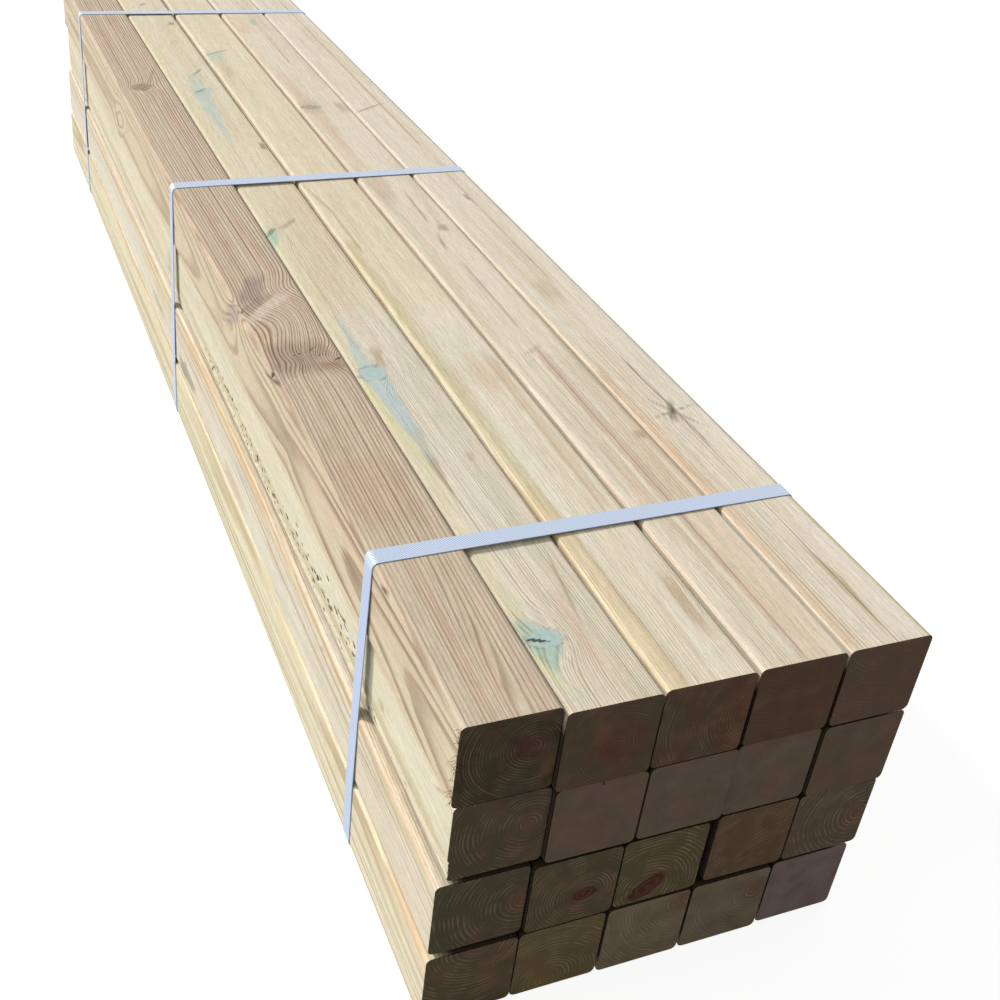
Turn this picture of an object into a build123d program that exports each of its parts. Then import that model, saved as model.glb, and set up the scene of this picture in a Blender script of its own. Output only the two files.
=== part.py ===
from build123d import *
from math import atan2, cos, hypot, sin, tan
import os

# A bundle of planed pine studs: four layers of five square studs, drawn together by three straps.
# Millimetres. X runs across the front end, Y from the front end to the far end, and Z is up.
# The origin is on the floor under the middle of the bundle, which lies on its straps.

columns = 5
layers = 4
stud_size = 70
stud_length = 1800
arris_radius = 4.5

strap_width = 16
strap_thickness = 0.7
strap_slack = 0.1
# Where each strap crosses the middle of the bundle, and how much further back its right end is than
# its left one: they were pulled tight by hand, and none is quite square to the studs.
straps = {
    "strap_front": (-715, 8),
    "strap_middle": (4, 22),
    "strap_back": (720, 24),
}
lap_length = 45
lap_ramp = 6
lap_height = 120
# The strap passes straight over an arris that would push it out by less than this.
least_bend = 0.05

# No stud is quite straight, so the layers keep small gaps, which the straps can't draw closed.
# Each table has one line for a layer, top layer first, and one figure for a stud, from the left.
# The gap beside a stud is on its left. For the first stud it's measured from the leftmost point of
# the bundle. The gap under a stud is smallest where it rests.
side_gap = [
    [7.2, 0.6, 0.5, 2.2, 1.8],
    [10.0, 0.3, 0.3, 0.3, 1.2],
    [3.3, 1.5, 1.2, 5.7, 0.5],
    [2.2, 0.3, 1.2, 1.5, 2.5],
]
far_side_gap = [
    [1.5, 0.8, 3.2, 2.2, 0.3],
    [5.0, 0.2, 0.2, 0.2, 0.6],
    [1.5, 0.8, 0.6, 2.9, 0.3],
    [0.0, 0.2, 0.6, 0.8, 1.3],
]
under_gap = [
    [1.3, 0.2, 0.2, 0.8, 1.1],
    [2.4, 2.9, 4.4, 1.3, 2.1],
    [3.0, 0.5, 0.2, 3.2, 2.4],
    [0.0, 0.0, 0.0, 0.0, 0.0],
]
# The gaps under the studs close towards the far end, to this share of their size at the front.
far_share = 0.5
# How far each front end stands back from the foremost one.
setback = [
    [3.5, 0.0, 0.4, 0.4, 0.0],
    [5.0, 1.0, 0.5, 2.4, 0.2],
    [3.7, 2.0, 3.0, 2.7, 2.8],
    [2.0, 2.1, 1.6, 1.8, 3.6],
]

front_y = -stud_length / 2
wood_bottom = strap_thickness + strap_slack
widest_layer = columns * stud_size + max(sum(gaps) for gaps in side_gap + far_side_gap)
left_side = -widest_layer / 2


def stud_centre(layer, column, far):
    """Middle of one end of a stud, as X and Z."""
    gaps = far_side_gap if far else side_gap
    beside = sum(gaps[layer][: column + 1])
    below = (far_share if far else 1) * sum(under_gap[lower][column] for lower in range(layer, layers))
    x = left_side + beside + (column + 0.5) * stud_size
    z = wood_bottom + below + (layers - layer - 0.5) * stud_size
    return x, z


def centre_at(layer, column, y):
    """Middle of a stud where the plane at y crosses it, on the line between its two ends."""
    x0, z0 = stud_centre(layer, column, far=False)
    x1, z1 = stud_centre(layer, column, far=True)
    along = (y - front_y) / stud_length
    return x0 + (x1 - x0) * along, z0 + (z1 - z0) * along


def make_stud(layer, column):
    """One square stud with planed faces, rounded arrises and saw-cut ends."""
    x0, z0 = stud_centre(layer, column, far=False)
    x1, z1 = stud_centre(layer, column, far=True)
    start = (x0, front_y + setback[layer][column], z0)
    cut = Plane(origin=start, x_dir=(1, 0, 0), z_dir=(x1 - x0, stud_length, z1 - z0))
    with BuildPart() as stud:
        with BuildSketch(cut):
            RectangleRounded(stud_size, stud_size, arris_radius)
        extrude(amount=stud_length)
    stud.part.label = f"stud_r{layer + 1}_c{column + 1}"
    return stud.part


def arris_centres(y, slant):
    """Centres of the rounded arrises of every stud where an upright plane crosses the bundle.

    The plane stands at y in the middle of the bundle and turns by the slant. The centres are given
    along the plane, so across the bundle they lie a little further apart than in a square cut.
    """
    reach = stud_size / 2 - arris_radius
    found = []
    for layer in range(layers):
        for column in range(columns):
            x, z = centre_at(layer, column, y)
            for dx in (-reach, reach):
                x_here, z_here = centre_at(layer, column, y + (x + dx) * tan(slant))
                for dz in (-reach, reach):
                    found.append(((x_here + dx) / cos(slant), z_here + dz))
    return found


def stands_out(first, second, third):
    """How far the second point lies to the right of the line from the first to the third."""
    (x1, z1), (x2, z2), (x3, z3) = first, second, third
    area = (x2 - x1) * (z3 - z1) - (x3 - x1) * (z2 - z1)
    return area / hypot(x3 - x1, z3 - z1)


def half_outline(points):
    """One half of the convex outline round points that are in order from side to side."""
    corners = []
    for point in points:
        while len(corners) > 1 and stands_out(corners[-2], corners[-1], point) < least_bend:
            corners.pop()
        corners.append(point)
    return corners[:-1]


def grown_outline(core, distance):
    """The outline grown by a distance, with its four main corners rounded by the same."""
    with BuildSketch() as grown:
        offset(core, amount=distance, kind=Kind.INTERSECTION)
        fillet(grown.vertices().sort_by_distance(core.center())[-4:], radius=distance)
    return grown.sketch_local


def make_strap(name, y, skew):
    """One strap pulled taut round the bundle, its ends lapped and welded on the right side.

    The band follows the shortest line round all the arrises, so it bends only at the studs that
    stand proud and bridges those that are set in. That line is the outline round the centres of
    the arrises, grown by their radius. The lap is a second layer of the same band.
    """
    slant = atan2(skew, widest_layer)
    across = (cos(slant), sin(slant), 0)
    towards_front = (sin(slant), -cos(slant), 0)
    near_edge = Plane(origin=(0, y - strap_width / 2, 0), x_dir=across, z_dir=towards_front)
    centres = sorted(arris_centres(y, slant))
    with BuildSketch() as taut:
        with BuildLine():
            Polyline(half_outline(centres) + half_outline(centres[::-1]), close=True)
        make_face()
    core = taut.sketch_local.face()
    inside = arris_radius + strap_slack
    outside = inside + strap_thickness
    right_side = core.bounding_box().max.X + outside
    lap_top = lap_height + lap_length
    with BuildPart() as strap:
        with BuildSketch(near_edge):
            add(grown_outline(core, outside + strap_thickness))
            Polygon(
                (0, lap_top),
                (0, lap_height - lap_ramp),
                (right_side, lap_height - lap_ramp),
                (right_side + strap_thickness, lap_height),
                (right_side + strap_width, lap_height),
                (right_side + strap_width, lap_top),
                align=None,
                mode=Mode.INTERSECT,
            )
            add(grown_outline(core, outside))
            add(grown_outline(core, inside), mode=Mode.SUBTRACT)
        extrude(amount=strap_width, dir=(0, 1, 0))
    strap.part.label = name
    return strap.part


pieces = [make_stud(layer, column) for layer in range(layers) for column in range(columns)]
for name, (y, skew) in straps.items():
    pieces.append(make_strap(name, y, skew))

os.makedirs("parts", exist_ok=True)
for piece in pieces:
    export_step(piece, f"parts/{piece.label}.step")
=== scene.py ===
from math import pi, radians

import bpy
import numpy as np
from mathutils import Matrix, Vector


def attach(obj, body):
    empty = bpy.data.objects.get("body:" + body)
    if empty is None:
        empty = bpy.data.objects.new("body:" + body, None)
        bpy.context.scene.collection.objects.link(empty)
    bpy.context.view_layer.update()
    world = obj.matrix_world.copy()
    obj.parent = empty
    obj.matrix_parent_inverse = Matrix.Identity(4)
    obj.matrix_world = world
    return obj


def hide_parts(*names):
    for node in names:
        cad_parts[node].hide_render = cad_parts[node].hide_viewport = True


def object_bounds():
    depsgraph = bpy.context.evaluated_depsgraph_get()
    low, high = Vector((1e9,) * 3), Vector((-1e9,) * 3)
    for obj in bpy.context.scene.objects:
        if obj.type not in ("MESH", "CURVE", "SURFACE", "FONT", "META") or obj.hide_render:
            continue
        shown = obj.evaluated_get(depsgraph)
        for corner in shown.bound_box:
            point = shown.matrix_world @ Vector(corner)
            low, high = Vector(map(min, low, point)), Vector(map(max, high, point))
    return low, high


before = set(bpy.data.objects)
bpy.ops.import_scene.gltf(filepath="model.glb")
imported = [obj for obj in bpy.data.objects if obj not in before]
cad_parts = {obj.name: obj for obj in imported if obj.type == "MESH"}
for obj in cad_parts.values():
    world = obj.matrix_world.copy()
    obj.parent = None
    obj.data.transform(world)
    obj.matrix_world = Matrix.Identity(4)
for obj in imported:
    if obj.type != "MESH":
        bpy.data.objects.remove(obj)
cad_low, cad_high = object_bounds()


# The bottom layer: five planed pine studs that lie on the straps. Each was sawn from one log, planed on
# four sides with rounded arrises, cut square by a saw and then pressure-treated with a copper salt,
# which leaves the sapwood cream to green and the knots blue-green.
mm = 0.001
size = 70.0
length = 1800.0
arris = 4.5
saw_edge = 0.5
half = size / 2

SIDES = ("top", "right", "bottom", "left")
FACES = {"top": (1, 1), "bottom": (1, -1), "right": (0, 1), "left": (0, -1)}


def outer_faces(layer, column):
    """Which long faces of a stud lie on the outside of the stack."""
    return {"top": layer == 1, "left": column == 1, "right": column == 5, "bottom": layer == 4}


def stud_profile(cells, shown):
    """The section's outline: points and outward directions in millimetres, and the painted shade of each.

    Seen from the front end it runs clockwise from the top left: each side is a straight run of
    equal strips, and each arris a quarter circle of six strips about a centre inside the corner.
    A side inside the stack gets full painted shade, for the shade that falls between the studs. The arris
    beside a seam on top gets painted shade where it turns down, and on the sides, where one layer stands
    out from the next, the whole arris gets none.
    """
    reach = half - arris
    points, normals, painted_shade = [], [], []
    for i, face in enumerate(SIDES):
        after = SIDES[(i + 1) % 4]
        start = 90 - 90 * i
        out = np.array([np.cos(radians(start)), np.sin(radians(start))])
        along = np.array([out[1], -out[0]])
        t = np.linspace(-reach, reach, cells[face] + 1)
        points.append(out * half + along * t[:, None])
        normals.append(np.repeat(out[None], len(t), 0))
        edge = np.full(len(t), 0.0 if shown[face] else 1.0)
        if shown[SIDES[i - 1]]:
            edge[0] = 0
        if shown[after]:
            edge[-1] = 0
        painted_shade.append(edge)
        turned = np.linspace(0, 1, 7)[1:-1]
        angle = np.radians(start - 90 * turned)
        turn = np.stack([np.cos(angle), np.sin(angle)], 1)
        points.append((out + along) * reach + turn * arris)
        normals.append(turn)
        if shown[face] == shown[after]:
            painted_shade.append(0 * turned + (0.0 if shown[face] else 1.0))
        elif "top" in (face, after) and shown["top"]:
            painted_shade.append(0.7 * smooth(0.55, 1.05, turned if shown[face] else 1 - turned))
        else:
            painted_shade.append(0 * turned)
    return np.concatenate(points), np.concatenate(normals), np.concatenate(painted_shade)


def smooth(low, high, x):
    """0 at low, 1 at high and a soft step between them."""
    t = np.clip((x - low) / (high - low), 0, 1)
    return t * t * (3 - 2 * t)


def stud_rows(busy, coarse):
    """Distances along the stud at which it has a ring of points, close together at busy places.

    The wanted spacing grows away from each busy place. Its inverse is summed along the stud, and
    the rows stand where that sum reaches whole steps.
    """
    s = np.linspace(0, length, 3601)
    spacing = np.full(s.shape, float(coarse))
    for start, end, fine in busy:
        away = np.maximum(np.maximum(start - s, s - end), 0)
        spacing = np.minimum(spacing, fine + 0.15 * away)
    count = np.concatenate([[0], np.cumsum(np.diff(s) / spacing[1:])])
    steps = int(np.ceil(count[-1]))
    rows = np.interp(np.linspace(0, count[-1], steps + 1), count, s)
    return np.concatenate([[0, saw_edge], rows[1:-1], [length - saw_edge, length]])


def stud_surface(outline, out, rows, cap_rings):
    """A closed stud: its outline carried along the rows, and each end closed by shrinking rings.

    The outline of the first and last row is drawn in a little, which breaks the saw-cut edge.
    Returns points (across, up, along), outward directions, faces, and each four-sided face's kind:
    0 on the long faces, 1 on the broken edge of an end and 2 on the end itself.
    """
    n = len(outline)
    shrink = np.where((rows == 0) | (rows == length), 1 - saw_edge / half, 1.0)
    side = np.zeros((len(rows), n, 3))
    side[:, :, :2] = outline * shrink[:, None, None]
    side[:, :, 2] = rows[:, None]
    side_out = np.zeros_like(side)
    side_out[:, :, :2] = out
    inner = np.linspace(1, 0, cap_rings + 1)[1:-1]
    caps, caps_out = [], []
    for s, sign in ((0.0, -1.0), (length, 1.0)):
        ring = np.zeros((len(inner), n, 3))
        ring[:, :, :2] = outline * (1 - saw_edge / half) * inner[:, None, None]
        ring[:, :, 2] = s
        caps.append(np.concatenate([ring.reshape(-1, 3), [[0, 0, s]]]))
        caps_out.append(np.repeat([[0, 0, sign]], len(caps[-1]), 0))
    points = np.concatenate([side.reshape(-1, 3)] + caps)
    normals = np.concatenate([side_out.reshape(-1, 3)] + caps_out)

    column = np.arange(n)
    following = (column + 1) % n
    base = np.arange(len(rows) - 1)[:, None] * n
    quads = np.stack([base + column, base + n + column, base + n + following, base + following], -1)
    faces = [quads.reshape(-1, 4)]
    kinds = [np.isin(np.arange(len(rows) - 1), (0, len(rows) - 2)).astype(int).repeat(n)]
    rims = (np.arange(n), (len(rows) - 1) * n + np.arange(n))
    first = len(rows) * n
    fans = []
    for rim, flip in zip(rims, (False, True)):
        loops = np.concatenate([rim[None], first + np.arange(len(inner) * n).reshape(-1, n)])
        a, b = loops[:-1], loops[1:]
        ring = np.stack([a, a[:, following], b[:, following], b], -1).reshape(-1, 4)
        centre = np.full(n, first + len(inner) * n)
        fan = np.stack([loops[-1], loops[-1][following], centre], -1)
        faces.append(ring[:, ::-1] if flip else ring)
        fans.append(fan[:, ::-1] if flip else fan)
        kinds.append(np.full(len(ring), 2))
        first += len(inner) * n + 1
    quads, fans = np.concatenate(faces), np.concatenate(fans)
    return points, normals, quads, fans, np.concatenate(kinds)


def new_mesh(name, points, quads, triangles):
    """Puts whole arrays of points, four-sided and three-sided faces into a new mesh."""
    mesh = bpy.data.meshes.new(name)
    loops = np.concatenate([quads.ravel(), triangles.ravel()])
    starts = np.concatenate([np.arange(len(quads)) * 4, len(quads) * 4 + np.arange(len(triangles)) * 3])
    mesh.vertices.add(len(points))
    mesh.vertices.foreach_set("co", points.astype(np.float32).ravel())
    mesh.loops.add(len(loops))
    mesh.loops.foreach_set("vertex_index", loops.astype(np.int32))
    mesh.polygons.add(len(starts))
    mesh.polygons.foreach_set("loop_start", starts.astype(np.int32))
    mesh.update(calc_edges=True)
    return mesh


def set_attribute(mesh, name, values):
    """Stores one number or one vector for each corner of each face."""
    kind = "FLOAT" if values.ndim == 1 else "FLOAT_VECTOR"
    layer = mesh.attributes.new(name, kind, "CORNER")
    layer.data.foreach_set("value" if values.ndim == 1 else "vector", values.astype(np.float32).ravel())


def wander(s, seed, reach):
    """A slow wave along the stud: three sines of long, unequal wavelengths with seeded phases."""
    phases = np.random.default_rng(seed).uniform(0, 2 * pi, 3)
    waves = [np.sin(2 * pi * s / span + phase) for span, phase in zip((1500, 640, 290), phases)]
    return reach * (0.6 * waves[0] + 0.3 * waves[1] + 0.12 * waves[2])


def lumps(x, y, seed):
    """Smooth noise from 0 to 1: seeded values on a square grid of unit steps, softly joined."""
    table = np.random.default_rng(seed).random((64, 64))
    ix, iy = np.floor(x).astype(int), np.floor(y).astype(int)
    fx, fy = smooth(0, 1, x - ix), smooth(0, 1, y - iy)
    a, b = table[ix % 64, iy % 64], table[(ix + 1) % 64, iy % 64]
    c, d = table[ix % 64, (iy + 1) % 64], table[(ix + 1) % 64, (iy + 1) % 64]
    return (a * (1 - fx) + b * fx) * (1 - fy) + (c * (1 - fx) + d * fx) * fy


def on_face(face, p):
    """A point's place across a long face, from its left or upper edge, and its depth below it."""
    axis, sign = FACES[face]
    across = half - p[:, 1] if axis == 0 else p[:, 0] + half
    return across, half - sign * p[:, axis]


def pith_line(pine, s, seed):
    """Where the log's pith runs, in millimetres from the stud's middle, at distances along it.

    The path goes through given points (distance, share of the width, share of the height).
    """
    path = np.array(pine["pith"])
    x = (np.interp(s, path[:, 0], path[:, 1]) - 0.5) * size + wander(s, seed, 1.5)
    z = (np.interp(s, path[:, 0], path[:, 2]) - 0.5) * size + wander(s, seed + 1, 1.5)
    return x, z


def bend_field(pine, p):
    """How far the growth rings are pushed sideways where they swerve round knots, for each point.

    Each bend is a soft hill on one face: its place along and across, its reach each way, how far
    it moves across for each millimetre along, and its height.
    """
    push = np.zeros(len(p))
    for face, along, across, reach, width, lean, height in pine.get("bends", []):
        u, depth = on_face(face, p)
        ds = (p[:, 2] - along) / reach
        du = (u - across - lean * (p[:, 2] - along)) / width
        push += height * np.exp(-(ds**2) - du**2) * smooth(64, 0, depth)
    return push


def patch_shape(patch, p, seed):
    """How much a patch covers each point: a strip on one face from one width to another.

    The strip runs between two distances along the face, its middle and its half width change
    evenly between them, and its edges waver a little and are soft.
    """
    face, start, end, u_start, u_end, half_start, half_end = patch[:7]
    u, depth = on_face(face, p)
    s = p[:, 2]
    t = (s - start) / (end - start)
    middle = u_start + (u_end - u_start) * t
    room = half_start + (half_end - half_start) * np.clip(t, 0, 1)
    waver = (lumps(s / 11, u / 5, seed) - 0.5) * np.minimum(room, 5) * 0.7
    soft = np.maximum(1.7, 0.4 * room)
    across = np.clip((room + waver - np.abs(u - middle)) / soft + 0.5, 0, 1)
    end_soft = min(12.0, 0.25 * (end - start)) + 0.6
    along = smooth(start - end_soft, start + end_soft, s) * smooth(end + end_soft, end - end_soft, s)
    return across * along * smooth(5, 2, depth)


def patch_fields(pine, p, seed):
    """The colour that the patches paint over each point and its cover, how far calm patches fade
    the rings there, and how dark the cracks are.
    """
    tint = np.zeros((len(p), 3))
    cover = np.zeros(len(p))
    for i, patch in enumerate(pine.get("patches", [])):
        share = patch_shape(patch, p, seed + i) * patch[8]
        colour = np.array(linear(patch[7])[:3])
        total = share + cover * (1 - share)
        weight = share / np.maximum(total, 1e-6)
        tint += (colour - tint) * weight[:, None]
        cover = total
    calm = np.zeros(len(p))
    for i, patch in enumerate(pine.get("calm", [])):
        calm += patch_shape(patch, p, seed + 50 + i) * patch[7]
    dark = np.zeros(len(p))
    for i, crack in enumerate(pine.get("cracks", [])):
        dark = np.maximum(dark, patch_shape(crack, p, seed + 80 + i) * crack[7])
    return tint, cover, calm, dark


# The place given to wood that has no knot near, in knot radii.
no_knot = 9.0


def knot_field(pine, p):
    """Each point's distance from the nearest knot's middle over the knot's own radius, and its green.

    A knot is an oval on a long face or on the front end, leaning with the branch.
    """
    place = np.full(len(p), no_knot)
    green = np.zeros(len(p))
    for face, along, across, reach, width, lean, copper in pine.get("knots", []):
        if face == "front":
            a, b = p[:, 0] / size + 0.5 - along, p[:, 1] / size + 0.5 - across
            here = np.hypot(a / reach, (b - lean * a) / width) + p[:, 2] / 3
        else:
            u, depth = on_face(face, p)
            a = p[:, 2] - along
            here = np.hypot(a / reach, (u - across - lean * a) / width) + smooth(4, 9, depth) * no_knot
        green = np.where(here < place, copper, green)
        place = np.minimum(place, here)
    return place, green


def linear(colour):
    """An sRGB hex colour as linear light, with full opacity."""
    value = np.array([int(colour[i : i + 2], 16) for i in (1, 3, 5)]) / 255
    light = np.where(value <= 0.04045, value / 12.92, ((value + 0.055) / 1.055) ** 2.4)
    return (*light, 1.0)


def add(tree, kind, inputs, output=0, **settings):
    """Adds one node and gives one of its outputs.

    The inputs stand in a row or by socket, and each takes a number, a colour or a link. The
    settings go by name.
    """
    node = tree.nodes.new("ShaderNode" + kind)
    for name, value in settings.items():
        setattr(node, name, value)
    for socket, value in inputs.items() if isinstance(inputs, dict) else enumerate(inputs):
        if isinstance(value, bpy.types.NodeSocket):
            tree.links.new(value, node.inputs[socket])
        else:
            node.inputs[socket].default_value = value
    return node.outputs[output] if node.outputs else None


def blank_material(name):
    """A new material and its empty node tree."""
    material = bpy.data.materials.new(name)
    material.use_nodes = True
    material.node_tree.nodes.clear()
    return material, material.node_tree


def along_grain(tree, place, reach, detail=2.0, roughness=0.5):
    """Smooth noise about as long as the given millimetres across, along and up the log."""
    stretch = tuple(1 / r for r in reach)
    vector = add(tree, "VectorMath", (place, stretch), operation="MULTIPLY")
    inputs = {"Vector": vector, "Scale": 1.0, "Detail": detail, "Roughness": roughness}
    return add(tree, "TexNoise", inputs)


def in_places(tree, place, reach, detail, low, high, least=0.0, most=1.0, roughness=0.5):
    """A share that comes and goes over the wood: noise, and a soft step from least to most."""
    noise = along_grain(tree, place, reach, detail, roughness)
    return add(tree, "MapRange", (noise, low, high, least, most), interpolation_type="SMOOTHSTEP")


def unsteady(tree, value, place, reach, detail, sway):
    """A value that sways to both sides by noise."""
    noise = along_grain(tree, place, reach, detail)
    offset = add(tree, "Math", (noise, 0.5), operation="SUBTRACT")
    return add(tree, "Math", (offset, sway, value), operation="MULTIPLY_ADD")


def coated(tree, colour, *coats):
    """A colour with coats laid over it in turn, each given by its share and its colour."""
    for share, coat in coats:
        colour = add(tree, "Mix", {0: share, 6: colour, 7: coat}, 2, data_type="RGBA")
    return colour


def growth_rings(tree, ring, ragged_by, faintest):
    """Dark latewood lines round the pith, from the distance to it in the log's own millimetres.

    In each ring the wood darkens slowly outwards and then turns pale at once. The rings' widths,
    their outline and their strength vary by noise.
    """
    place = add(tree, "Attribute", {}, "Vector", attribute_name="growth")
    bend = add(tree, "Attribute", {}, "Fac", attribute_name="bend")
    flat = add(tree, "VectorMath", (place, (1, 0, 1)), operation="MULTIPLY")
    radius = add(tree, "VectorMath", (flat,), "Value", operation="LENGTH")
    radius = add(tree, "Math", (radius, bend), operation="SUBTRACT")
    radius = unsteady(tree, radius, place, (30, 500, 30), 1.0, 3.0)
    radius = unsteady(tree, radius, place, (5, 130, 5), 2.0, ragged_by)
    count = add(tree, "Math", (radius, ring), operation="DIVIDE")
    slower = add(tree, "Math", (count, 0.37), operation="MULTIPLY")
    year = add(tree, "TexNoise", {"W": slower, "Scale": 1.0, "Detail": 1.0}, noise_dimensions="1D")
    count = add(tree, "Math", (year, 1.3, count), operation="MULTIPLY_ADD")
    phase = add(tree, "Math", (count,), operation="FRACT")
    darker = add(tree, "MapRange", (phase, 0.34, 0.78), interpolation_type="SMOOTHSTEP")
    paler = add(tree, "MapRange", (phase, 1.0, 0.88), interpolation_type="SMOOTHSTEP")
    late = add(tree, "Math", (darker, paler), operation="MULTIPLY")
    index = add(tree, "Math", (count,), operation="FLOOR")
    strength = add(tree, "TexWhiteNoise", {"W": index}, noise_dimensions="1D")
    strength = add(tree, "Math", (strength, 0.45, 0.55), operation="MULTIPLY_ADD")
    late = add(tree, "Math", (late, strength), operation="MULTIPLY")
    faint = in_places(tree, place, (10, 240, 10), 2.0, 0.3, 0.6, faintest, 1.0)
    return place, radius, add(tree, "Math", (late, faint), operation="MULTIPLY")


def knot_rings(tree, place, reach, detail, sway, closeness):
    """How far out in a knot each point lies, with a ragged outline, and the knot's own fine rings."""
    knot = add(tree, "Attribute", {}, "Fac", attribute_name="knot")
    knot = unsteady(tree, knot, place, reach, detail, sway)
    turn = add(tree, "Math", (knot, closeness), operation="MULTIPLY")
    wave = add(tree, "Math", (turn,), operation="SINE")
    return knot, add(tree, "MapRange", (wave, -1, 1), interpolation_type="SMOOTHSTEP")


def planed_pine(name, pine):
    """Planed, pressure-treated pine: cream earlywood, browner latewood lines and a dull sheen.

    The planer leaves the hard latewood standing slightly proud. Fibres show as fine streaks,
    drawn about twice as coarse as real ones, so that they show at this size.
    """
    material, tree = blank_material(name)
    place, _, late = growth_rings(tree, pine["ring"], 0.8, pine["faint"])
    calm, cover, green, dark, painted_shade = [
        add(tree, "Attribute", {}, "Fac", attribute_name=mark)
        for mark in ("calm", "cover", "green", "dark", "painted_shade")
    ]
    tint = add(tree, "Attribute", {}, "Color", attribute_name="tint")
    lively = add(tree, "Math", (1.0, calm), operation="SUBTRACT")
    late = add(tree, "Math", (late, lively), operation="MULTIPLY")

    warm = in_places(tree, place, (13, 420, 13), 2.0, 0.42, 0.72, 0.0, pine["warmth"])
    cool = in_places(tree, place, (17, 330, 19), 2.0, 0.5, 0.75, 0.0, 0.55)
    colour = coated(tree, linear(pine["sap"]), (warm, linear(pine["warm"])),
                    (cool, linear(pine["cool"])), (cover, tint))
    line = add(tree, "Mix", {0: 1.0, 6: colour, 7: linear(pine["line"])}, 2,
               data_type="RGBA", blend_type="MULTIPLY")
    lines = add(tree, "Math", (late, pine["contrast"]), operation="MULTIPLY")
    colour = coated(tree, colour, (lines, line))

    fibre = along_grain(tree, place, (0.7, 24, 0.7), 3.0, 0.7)
    streak = in_places(tree, place, (1.6, 110, 1.6), 2.0, 0.25, 0.75, -0.06, 0.06)
    speck = in_places(tree, place, (1.0, 4, 1.0), 2.0, 0.25, 0.75, -0.07, 0.07, 0.7)
    shade = add(tree, "MapRange", (fibre, 0.28, 0.72, 0.84, 1.13), interpolation_type="SMOOTHSTEP")
    shade = add(tree, "Math", (shade, streak), operation="ADD")
    shade = add(tree, "Math", (shade, speck), operation="ADD")
    colour = add(tree, "VectorMath", {0: colour, "Scale": shade}, operation="SCALE")

    knot, grain = knot_rings(tree, place, (3, 5, 3), 3.0, 0.7, 11.0)
    brown = coated(tree, linear("#7f6549"), (grain, linear("#a4886b")))
    copper = coated(tree, linear("#acc5c0"), (grain, linear("#b5ccca")))
    wood = coated(tree, brown, (green, copper))
    inside = add(tree, "MapRange", (knot, 1.1, 0.8, 0.0, 0.75), interpolation_type="SMOOTHSTEP")
    rising = add(tree, "MapRange", (knot, 0.8, 1.0), interpolation_type="SMOOTHSTEP")
    falling = add(tree, "MapRange", (knot, 1.2, 1.02), interpolation_type="SMOOTHSTEP")
    rim = add(tree, "Math", (rising, falling), operation="MULTIPLY")
    broken = in_places(tree, place, (9, 9, 9), 2.0, 0.42, 0.62)
    rim = add(tree, "Math", (rim, broken), operation="MULTIPLY")
    darkness = add(tree, "Math", (green, -0.35, 0.75), operation="MULTIPLY_ADD")
    rim = add(tree, "Math", (rim, darkness), operation="MULTIPLY")
    # The dark mark holds the cracks and, on studs with a relief, painted shade in its hollows and pits.
    frayed = unsteady(tree, dark, place, (1.5, 2.5, 1.5), 2.0, 0.7)
    crack = add(tree, "MapRange", (frayed, 0.32, 0.6, 0.0, 0.88), interpolation_type="SMOOTHSTEP")
    # The last coat is painted shade: dark brown on faces inside the stack and on arrises turning into
    # seams.
    colour = coated(tree, colour, (inside, wood), (rim, linear("#5d4d3c")), (crack, linear("#2c231b")),
                    (painted_shade, linear("#33281d")))

    height = add(tree, "Math", (fibre, 0.7), operation="MULTIPLY")
    height = add(tree, "Math", (late, 0.6, height), operation="MULTIPLY_ADD")
    bump = add(tree, "Bump", {"Height": height, "Strength": 0.6, "Distance": 0.18 * mm})
    rough = add(tree, "MapRange", (late, 0.0, 1.0, 0.68, 0.52), interpolation_type="SMOOTHSTEP")
    shader = add(tree, "BsdfPrincipled", {"Base Color": colour, "Roughness": rough, "IOR": 1.5,
                                          "Specular IOR Level": 0.25, "Normal": bump})
    add(tree, "OutputMaterial", {"Surface": shader})
    return material


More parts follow.
